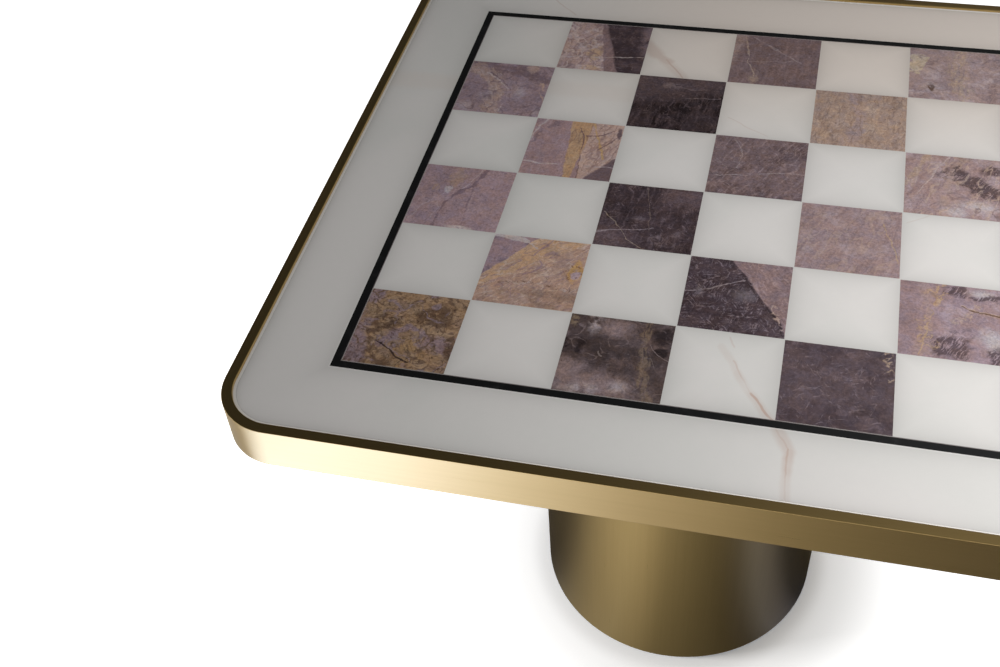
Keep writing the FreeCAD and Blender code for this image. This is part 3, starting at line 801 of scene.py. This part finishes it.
# Square d6: plum-mauve with a wavy tan and white vein
stone = Marble("d6", (0.2, 0.135, 0.136), 0.1)
stone.lay((0.26, 0.18, 0.18), stone.grain(84, 0.46, 0.6, 4), 0.75)
stone.lay((0.155, 0.104, 0.106), stone.cloud(3, 0.5, 0.62), 0.6)
stone.lay((0.36, 0.26, 0.24), 1 - stone.sweep(-12, -44, 5), 0.8)
stone.vein((0.42, 0.315, 0.265), 0.8, 1.2, (-38, 48), (-31, 16), (-32, -8), (-24, -28), (-20, -50))
stone.lay((0.34, 0.25, 0.21), stone.patches((-22, -38, 7, 14)) * stone.moss(0.4, 0.54, 9), 0.7)
stone.vein((0.36, 0.275, 0.275), 0.7, 1.4, (-28, 46), (0, 22), (30, -2))
stone.vein((0.33, 0.25, 0.25), 0.7, 0.9, (-48, -6), (-15, -5), (20, 2))
stone.lay((0.3, 0.22, 0.225), stone.moss(0.6, 0.67, 20), 0.6)
stone.polish(0.7)

# Square f6: pale pinkish lilac with tan streaks and one brown knot
stone = Marble("f6", (0.395, 0.29, 0.29), 0.12)
stone.lay((0.32, 0.235, 0.24), stone.cloud(3, 0.46, 0.58), 0.75)
stone.lay((0.47, 0.365, 0.36), stone.cloud(5, 0.52, 0.62), 0.7)
tan = stone.line(14, (6, 48), (5, 0), (12, -48))
stone.lay((0.46, 0.34, 0.29), tan * stone.grain(84, 0.4, 0.56, 4), 0.8)
stone.lay((0.5, 0.375, 0.29), tan * stone.strands(84, 2, 5), 0.6)
stone.lay((0.56, 0.45, 0.35), stone.patches((-42, 18, 9, 17), (-36, 28, 7, 6), soft=0.1), 0.95)
dim = stone.patches((-30, -4, 8, 4), (43, -28, 5, 16)) * stone.moss(0.4, 0.52)
stone.lay((0.27, 0.19, 0.195), dim, 0.7)
stone.lay((0.46, 0.37, 0.37), stone.patches((-25, -28, 10, 9)), 0.6)
stone.lay(umber, stone.patches((-25, -28, 3, 5.5)) * stone.moss(0.34, 0.44, 18), 0.9)
stone.lay((0.25, 0.175, 0.18), stone.contours(3, 5, 0.12) * stone.cloud(3, 0.44, 0.56), 0.65)
stone.lay((0.24, 0.16, 0.14), stone.moss(0.62, 0.67, 20), 0.6)
stone.polish(0.6)

# Black line
# Four strips of black marble, mitred at the corners, let into one groove round the squares. They
# are polished flush with the slab.


def black_stone():
    """Black marble with a few faint grey clouds."""
    black = (0.009, 0.0092, 0.0096)
    grey = (0.022, 0.022, 0.023)
    finish = new_finish("black_stone")
    clouds = finish.noise(finish.coordinates(), 70, 5, 0.6)
    colour = finish.mix(clouds.rise(0.5, 0.8), black, grey)
    return finish.surface(colour, 0.10 + clouds * 0.06)


dress(black_stone(), *("black_line_" + side for side in ("front", "right", "back", "left")))

# Edge bar
# One flat brass bar, bent round four corners and welded into a ring, its arrises just broken.
# It is brushed along its length, and stands a little proud of the stone.
band_low, band_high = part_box("edge_band")
band_wall = 0.008
band_corner = 0.044
band_arris = 0.0006
corner_segments = 28
arris_segments = 3


def upright(edge):
    run = edge.verts[1].co - edge.verts[0].co
    return abs(run.z) > 0.9 * run.length


def sharp(edge):
    return len(edge.link_faces) == 2 and not upright(edge) and edge.calc_face_angle() > 1


def shade_edges(piece, angle=35):
    """Smooth shading that keeps the flats flat."""
    pick(piece)
    bpy.ops.object.shade_smooth_by_angle(angle=radians(angle))
    weighted = piece.modifiers.new("weighted", "WEIGHTED_NORMAL")
    weighted.keep_sharp = True
    bpy.ops.object.modifier_apply(modifier=weighted.name)


def unroll_bar(piece):
    """Maps the bar in metres: u runs along it, v across it. The slack keeps rounding from
    counting the start of the front as the end of the whole way round."""
    straight = band_high.x - band_corner
    arc = band_corner * pi / 2
    side = 2 * straight + arc
    slack = 0.001
    layout = piece.data.uv_layers.new(name="brushing")
    for face in piece.data.polygons:
        places = []
        for index in face.loop_indices:
            point = piece.data.vertices[piece.data.loops[index].vertex_index].co
            core_x = max(-straight, min(straight, point.x))
            core_y = max(-straight, min(straight, point.y))
            out = Vector((point.x - core_x, point.y - core_y, 0))
            quarters = (atan2(out.y, out.x) / (pi / 2) + 1 + slack) % 4 - slack
            whole = int(quarters + slack)
            facing = (whole - 1) * pi / 2
            along = core_x * -sin(facing) + core_y * cos(facing)
            if quarters - whole > slack:
                along = straight + (quarters - whole) * arc
            across = point.z + band_corner - out.length
            places.append([whole * side + straight + along, across])
        furthest = max(place[0] for place in places)
        for index, place in zip(face.loop_indices, places):
            if furthest - place[0] > side:
                place[0] += 4 * side
            layout.data[index].uv = place


def brushed(finish, along, across, sideways=None):
    """Closes a finish as satin brass, brushed along the first direction and fine across it."""
    brass = (0.605, 0.420, 0.165)
    light_brass = (0.64, 0.447, 0.18)
    handled_brass = (0.585, 0.402, 0.155)

    def streaks(slow, quick):
        """Coordinates for a noise of so many waves to a metre along the brushing and across it."""
        waves = {0: along * slow, 1: across * quick, 2: (sideways or across) * quick}
        return finish.node("CombineXYZ", {}, waves)

    fine = streaks(14, 1500)
    broad = streaks(5, 260)
    fine_lines = finish.noise(fine, 1, 3, 0.6)
    broad_lines = finish.noise(broad, 1, 2)
    lines = fine_lines * 0.6 + broad_lines * 0.4
    handled = finish.noise(finish.coordinates(), 7).rise(0.35, 0.75)
    colour = finish.mix(lines.rise(0.3, 0.7), brass, light_brass)
    colour = finish.mix(handled * 0.25, colour, handled_brass)
    bump = finish.bump(lines, distance=0.00001, strength=0.15)
    return finish.surface(colour, 0.25 + lines * 0.07 + handled * 0.03, 1.0, bump)


def band_brass():
    """Brass brushed along the bar, by the bar's own mapping."""
    finish = new_finish("brushed_brass_bar")
    axes = finish.split(finish.node("UVMap", {"uv_map": "brushing"}))
    return brushed(finish, axes, axes.other("Y"))


bpy.ops.object.select_all(action="DESELECT")
bpy.ops.mesh.primitive_cube_add(size=1, location=(band_low + band_high) / 2)
edge_bar = bpy.context.object
edge_bar.dimensions = band_high - band_low
bpy.ops.object.transform_apply(location=True, rotation=True, scale=True)
bpy.ops.object.mode_set(mode="EDIT")
choose("EDGE", upright)
bpy.ops.mesh.bevel(offset=band_corner, segments=corner_segments, affect="EDGES")
choose("FACE", lambda face: abs(face.normal.z) > 0.9)
bpy.ops.mesh.inset(thickness=band_wall, use_even_offset=True)
bpy.ops.mesh.bridge_edge_loops()
choose("EDGE", sharp)
bpy.ops.mesh.bevel(offset=band_arris, segments=arris_segments, affect="EDGES")
bpy.ops.mesh.select_all(action="SELECT")
bpy.ops.mesh.normals_make_consistent(inside=False)
bpy.ops.object.mode_set(mode="OBJECT")
shade_edges(edge_bar)
settle(edge_bar, "edge_bar")
unroll_bar(edge_bar)
edge_bar.data.materials.append(band_brass())
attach(edge_bar, "table")
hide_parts("edge_band")

# Tabs of the bar, with their screws
# Eight laser-cut steel tabs are welded inside the bar and screwed up into rebates in the panel, so
# that they carry the bar and let the stone lie free inside it.


def plain_steel(name, base, roughness):
    """Mill-finished or plated steel: fine scratches every way, and soft clouds in its gloss."""
    finish = new_finish(name)
    place = finish.coordinates()
    clouds = finish.noise(place, 40, 4, 0.6)
    drawn = finish.mapped(place, turn=radians(30), sizes=(0.0004, 0.01, 0.01))
    scratches = finish.noise(drawn, 1, 2)
    colour = finish.vectors("SCALE", base, 0.8 + clouds * 0.4)
    return finish.surface(colour, roughness + clouds * 0.12 + scratches * 0.08, metallic=1)


dark_steel = plain_steel("dark_steel", (0.10, 0.105, 0.115), 0.38)
zinc_steel = plain_steel("zinc_plated_steel", (0.52, 0.54, 0.56), 0.26)
dress(dark_steel, *(name for name in nodes if name.startswith("band_tab_")))
dress(zinc_steel, "tab_screws")

# Panel
# A wooden panel under the stone carries it and holds every fixing. Its underside is lacquered
# near black, and the grain still reads through the lacquer. Brass inserts take the post's bolts.


def lacquered_wood():
    """Near black lacquer over grain that runs from side to side, with darker open pores."""
    dark = (0.020, 0.014, 0.010)
    brown = (0.040, 0.028, 0.020)
    pore = (0.010, 0.007, 0.005)
    finish = new_finish("lacquered_wood")
    drawn = finish.mapped(finish.coordinates(), turn=radians(4), sizes=(0.30, 0.012, 0.02))
    pores = finish.noise(drawn, 6, 5, 0.65)
    bands = finish.noise(drawn, 1.3, distortion=0.8)
    colour = finish.mix(bands, dark, brown)
    colour = finish.mix(pores.rise(0.55, 0.75) * 0.7, colour, pore)
    bump = finish.bump(pores, distance=0.0001, strength=0.4)
    return finish.surface(colour, 0.30 + pores * 0.15, normal=bump)


def turned_brass():
    """Brass as it comes from the lathe."""
    dull = (0.52, 0.38, 0.17)
    bright = (0.64, 0.48, 0.24)
    finish = new_finish("turned_brass")
    rings = finish.noise(finish.coordinates(), 900, 3, 0.6)
    colour = finish.mix(rings, dull, bright)
    return finish.surface(colour, 0.25 + rings * 0.15, metallic=1)


dress(lacquered_wood(), "top_panel")
dress(turned_brass(), "panel_inserts")

# Drum
# A brass sheet rolled into a drum, its seam welded and ground off, brushed up and down. Both ends
# are dressed to a fine round edge.
drum_low, drum_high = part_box("drum_shell")
drum_wall = 0.0015
drum_edge = 0.0004
drum_segments = 176


def drum_brass():
    """Brass brushed up and down."""
    finish = new_finish("brushed_brass_drum")
    axes = finish.split(finish.coordinates())
    return brushed(finish, axes.other("Z"), axes, axes.other("Y"))


bpy.ops.object.select_all(action="DESELECT")
bpy.ops.mesh.primitive_cylinder_add(
    vertices=drum_segments,
    radius=drum_high.x,
    depth=drum_high.z - drum_low.z,
    location=(0, 0, (drum_low.z + drum_high.z) / 2),
    end_fill_type="NOTHING",
)
drum_skin = bpy.context.object
wall = drum_skin.modifiers.new("wall", "SOLIDIFY")
wall.thickness = drum_wall
wall.use_even_offset = True
edges = drum_skin.modifiers.new("edges", "BEVEL")
edges.width = drum_edge
edges.segments = 2
edges.limit_method = "ANGLE"
edges.angle_limit = radians(60)
bpy.ops.object.modifier_apply(modifier=wall.name)
bpy.ops.object.modifier_apply(modifier=edges.name)
shade_edges(drum_skin)
settle(drum_skin, "drum_skin")
drum_skin.data.materials.append(drum_brass())
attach(drum_skin, "table")
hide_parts("drum_shell")

# Rings and gasket of the drum
# Two rolled steel rings keep the thin sheet round, and hold the base plate and the panel. A flat
# rubber ring lies between the top edge of the drum and the panel.


def refine(name, new_name, body, material, angle=30):
    """Replaces a node by a copy of its mesh, merged and with its round faces shaded smooth."""
    piece = nodes[name].copy()
    piece.data = nodes[name].data.copy()
    piece.name = new_name
    piece.data.name = new_name
    bpy.context.scene.collection.objects.link(piece)
    pick(piece)
    bpy.ops.object.mode_set(mode="EDIT")
    bpy.ops.mesh.select_all(action="SELECT")
    bpy.ops.mesh.remove_doubles(threshold=0.000001)
    bpy.ops.mesh.dissolve_limited(angle_limit=radians(0.5))
    bpy.ops.object.mode_set(mode="OBJECT")
    shade_edges(piece, angle)
    piece.data.materials.clear()
    piece.data.materials.append(material)
    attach(piece, body)
    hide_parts(name)


def black_rubber():
    """Dull black rubber, dusty in its pores."""
    finish = new_finish("black_rubber")
    clouds = finish.noise(finish.coordinates(), 300, 4, 0.6)
    colour = finish.mix(clouds, (0.012, 0.012, 0.012), (0.022, 0.021, 0.020))
    return finish.surface(colour, 0.6 + clouds * 0.2)


dress(dark_steel, "drum_upper_ring", "drum_lower_ring")
refine("drum_gasket", "panel_gasket", "table", black_rubber())

# Post and base plate
# A steel tube with a plate and gussets welded to its top, bolted up into the panel. Its foot
# flange is screwed to a steel disc, which closes the drum and carries the ballast and the glides.
dress(dark_steel, "post_tube", "top_plate", "post_gussets", "post_foot_flange")
dress(zinc_steel, "top_plate_bolts", "flange_screws")
refine("base_plate", "base_disc", "table", dark_steel)

# Ballast
# Two cast iron discs with a collar lie on the base plate round the post, and keep the table from
# tipping. A screw in the collar clamps the post.


def cast_iron():
    """Dark grey iron as cast, with a pitted skin."""
    dark = (0.05, 0.048, 0.046)
    grey = (0.10, 0.095, 0.09)
    finish = new_finish("cast_iron")
    pits = finish.noise(finish.coordinates(), 500, 5, 0.7)
    colour = finish.mix(pits, dark, grey)
    return finish.surface(colour, 0.55, 0.6, finish.bump(pits, distance=0.0003, strength=0.6))


dress(cast_iron(), "ballast_disc_1", "ballast_disc_2", "ballast_collar")
dress(zinc_steel, "collar_screw")

# Levelling glides
# Four nylon pads under the base plate, each on a threaded steel stem that turns in a nut pressed
# into the plate. Turning a stem lowers or lifts that side of the table.


def dark_nylon():
    """Moulded black nylon, slightly scuffed."""
    black = (0.016, 0.016, 0.017)
    dark = (0.030, 0.029, 0.029)
    scuffed = (0.06, 0.06, 0.06)
    finish = new_finish("dark_nylon")
    place = finish.coordinates()
    clouds = finish.noise(place, 200, 4, 0.6)
    drawn = finish.mapped(place, turn=radians(50), sizes=(0.001, 0.02, 0.02))
    scuffs = finish.noise(drawn, 1).rise(0.55, 0.75)
    colour = finish.mix(clouds, black, dark)
    colour = finish.mix(scuffs * 0.5, colour, scuffed)
    return finish.surface(colour, 0.42 + clouds * 0.15)


nylon = dark_nylon()
dress(zinc_steel, "glide_nuts")
for foot in ("front_left", "front_right", "back_left", "back_right"):
    pad = "foot_pad_" + foot
    stem = "foot_stem_" + foot
    refine("glide_pad_" + foot, pad, "pad_" + foot, nylon)
    refine("glide_stem_" + foot, stem, "stem_" + foot, zinc_steel)

# Studio
# A floor white to the camera but for a soft shadow round the drum, painted into its glow as well
# as cast by the lamps, and a card of graded light on it for the brass alone. Lamps hang at the
# right and over the middle; one stands low.
floor_size = 14
painted_shadow_glow = 0.42
white_glow = 0.95
painted_foot_shadow = 0.19


def studio_floor():
    """Matt white that keeps the lamps' shadows and glows: white beyond the drum, and, as a painted
    shadow, dimly up to the drum and least at its foot.
    """
    white = (0.95, 0.95, 0.95)
    finish = new_finish("studio_floor")
    path = finish.node("LightPath")
    seen = path + path.other("Is Glossy Ray") + path.other("Is Transmission Ray")
    reach = finish.vectors("LENGTH", finish.coordinates())
    # Painted shadow: the glow is dimmer round the drum and least at its foot, over the lamps' real
    # shadow
    far = reach.rise(0.15, 0.27) * (white_glow - painted_shadow_glow)
    painted_contact_shadow = reach.rise(0.160, 0.137) * painted_foot_shadow
    matt = finish.node("BsdfDiffuse", {}, {"Color": white})
    strength = seen.maths("MINIMUM", 1) * (far + painted_shadow_glow - painted_contact_shadow)
    glow = finish.node("Emission", {}, {"Color": (1, 1, 1), "Strength": strength})
    both = finish.node("AddShader", {}, {0: matt, 1: glow})
    finish.node("OutputMaterial", {}, {"Surface": both})
    return finish.owner


def add_sheet(name, size, height, material):
    """A flat sheet on or just above the ground."""
    bpy.ops.object.select_all(action="DESELECT")
    bpy.ops.mesh.primitive_plane_add(size=size, location=(0, 0, height))
    sheet = settle(bpy.context.object, name)
    sheet.data.materials.append(material)
    return sheet


card_size = 2.4
card_height = 0.0015
card_peak = 5.2
card_front = 0.9
card_elsewhere = 0.45


def graded(finish, stops, limit, measure):
    """Light levels from stops that lie between a limit on either side of nothing."""
    scaled = [
        ((place + limit) / (2 * limit), tuple(level / card_peak for level in levels))
        for place, levels in stops
    ]
    return finish.node("ValToRGB", {"stops": scaled}, {"Fac": measure})


def card_light():
    """Graded light: by the side in front of the table, and by the way round close to the drum."""
    front_stops = (
        (-0.90, (0.60, 0.63, 0.75)),
        (-0.70, (1.20, 1.38, 2.00)),
        (-0.56, (1.75, 2.25, 4.00)),
        (-0.44, (2.20, 2.80, 5.20)),
        (-0.35, (2.00, 2.45, 4.20)),
        (-0.21, (1.22, 1.35, 1.84)),
        (-0.05, (0.58, 0.585, 0.63)),
        (0.12, (0.235, 0.228, 0.21)),
        (0.30, (0.095, 0.09, 0.09)),
        (0.50, (0.06, 0.06, 0.065)),
        (0.90, (0.25, 0.25, 0.27)),
    )
    drum_stops = (
        (-180, (0.05, 0.05, 0.05)),
        (-163, (0.07, 0.07, 0.07)),
        (-153, (0.14, 0.14, 0.14)),
        (-140, (0.34, 0.34, 0.32)),
        (-126, (0.50, 0.50, 0.47)),
        (-114, (0.56, 0.57, 0.56)),
        (-104, (0.48, 0.48, 0.46)),
        (-92, (0.28, 0.28, 0.26)),
        (-76, (0.18, 0.18, 0.165)),
        (-60, (0.108, 0.107, 0.10)),
        (-50, (0.10, 0.105, 0.13)),
        (-38, (0.19, 0.22, 0.34)),
        (-29, (0.15, 0.17, 0.26)),
        (-17, (0.035, 0.04, 0.06)),
        (0, (0.02, 0.02, 0.02)),
        (60, (0.30, 0.30, 0.30)),
        (120, (0.38, 0.38, 0.38)),
        (165, (0.06, 0.06, 0.06)),
        (180, (0.05, 0.05, 0.05)),
    )
    finish = new_finish("card_light")
    place = finish.coordinates()
    x = finish.split(place)
    y = x.other("Y")
    way_round = y.maths("ARCTAN2", x) / (2 * pi) + 0.5
    by_drum = graded(finish, drum_stops, 180, way_round)
    in_front = graded(finish, front_stops, card_front, (x + card_front) / (2 * card_front))
    reach = finish.vectors("LENGTH", place)
    by_drum = finish.vectors("SCALE", by_drum, 0.61 + reach.rise(0.10, 0.34) * 0.46)
    elsewhere = (card_elsewhere / card_peak,) * 3
    colour = finish.mix(y.rise(-0.38, -0.46), elsewhere, in_front)
    colour = finish.mix(reach.rise(0.42, 0.36), colour, by_drum)
    glow = finish.node("Emission", {}, {"Color": colour, "Strength": card_peak})
    finish.node("OutputMaterial", {}, {"Surface": glow})
    return finish.owner


add_sheet("studio_floor", floor_size, 0, studio_floor())
card = add_sheet("floor_card", card_size, card_height, card_light())
card.visible_camera = False
card.visible_diffuse = False
card.visible_transmission = False
card.visible_shadow = False

# The room is white to the camera, a graded ceiling and even walls to the metal, and soft light
# from low down to everything else
wall_light = 0.6
ceiling_dim = 0.022
ceiling_light = 0.30
room_dim = 0.095
room_light = 0.87
world = bpy.data.worlds.new("studio")
bpy.context.scene.world = world
sky = Finish(world)
path = sky.node("LightPath")
direction = sky.split(sky.coordinates("Generated"))
height = direction.other("Z")
behind = direction.other("Y").rise(0.64, 0.84)
ceiling = ceiling_dim + direction.rise(-0.18, 0.27) * (ceiling_light - behind * 0.23)
seen_by_metal = wall_light + (ceiling - wall_light) * height.rise(0.04, 0.24)
room = room_dim + height.rise(0.65, 0.45) * (room_light - direction.rise(-0.7, 0.7) * 0.77)
glossy = path.other("Is Glossy Ray")
plain = (path + path.other("Is Transmission Ray")).maths("MINIMUM", 1)
matt = 1 - (plain + glossy).maths("MINIMUM", 1)
strength = plain + glossy * seen_by_metal + matt * room
light = sky.node("Background", {}, {"Color": (1, 1, 1), "Strength": strength})
sky.node("OutputWorld", {}, {"Surface": light})


def soft_light(name, place, aim, width, depth, power):
    """A lamp that neither the camera nor the metal sees."""
    lamp = bpy.data.lights.new(name, "AREA")
    lamp.shape = "RECTANGLE"
    lamp.size = width
    lamp.size_y = depth
    lamp.energy = power
    stand = bpy.data.objects.new(name, lamp)
    bpy.context.scene.collection.objects.link(stand)
    stand.location = place
    facing = Vector(aim) - Vector(place)
    stand.rotation_euler = facing.to_track_quat("-Z", "Y").to_euler()
    stand.visible_camera = False
    stand.visible_glossy = False


soft_light("side_light", (0.455, -0.17, 1.008), (0.455, -0.17, 0), 0.27, 0.36, power=3.45)
soft_light("fill_light", (-0.02, -0.05, 0.9), (-0.02, -0.05, 0), 0.3, 0.3, power=0.17)
soft_light("low_left_light", (-1.3, -0.5, 0.32), (-0.1, -0.1, 0), 0.4, 0.25, power=23)

# Camera
# It looks down on the near left corner from in front, as in the photograph, with the focal length
# and the lens's centre in pixels of that picture.
photo_width = 1000
photo_height = 667
lens_centre_x = 496.68
lens_centre_y = 371.53
focal_pixels = 1262.39
sensor = 36
camera_place = (0.0644, -0.7816, 1.1147)
camera_heading = 17.5576
camera_pitch = 47.0064
camera_roll = 5.2334
view = bpy.data.cameras.new("camera")
view.sensor_width = sensor
view.lens = focal_pixels * sensor / photo_width
view.shift_x = (photo_width / 2 - lens_centre_x) / photo_width
view.shift_y = (lens_centre_y - photo_height / 2) / photo_width
camera = bpy.data.objects.new("camera", view)
bpy.context.scene.collection.objects.link(camera)
heading = Matrix.Rotation(radians(camera_heading), 4, "Z")
tilt = Matrix.Rotation(radians(90 - camera_pitch), 4, "X")
roll = Matrix.Rotation(radians(-camera_roll), 4, "Z")
camera.matrix_world = Matrix.Translation(camera_place) @ heading @ tilt @ roll
bpy.context.scene.camera = camera
bpy.context.scene.view_settings.view_transform = "Standard"
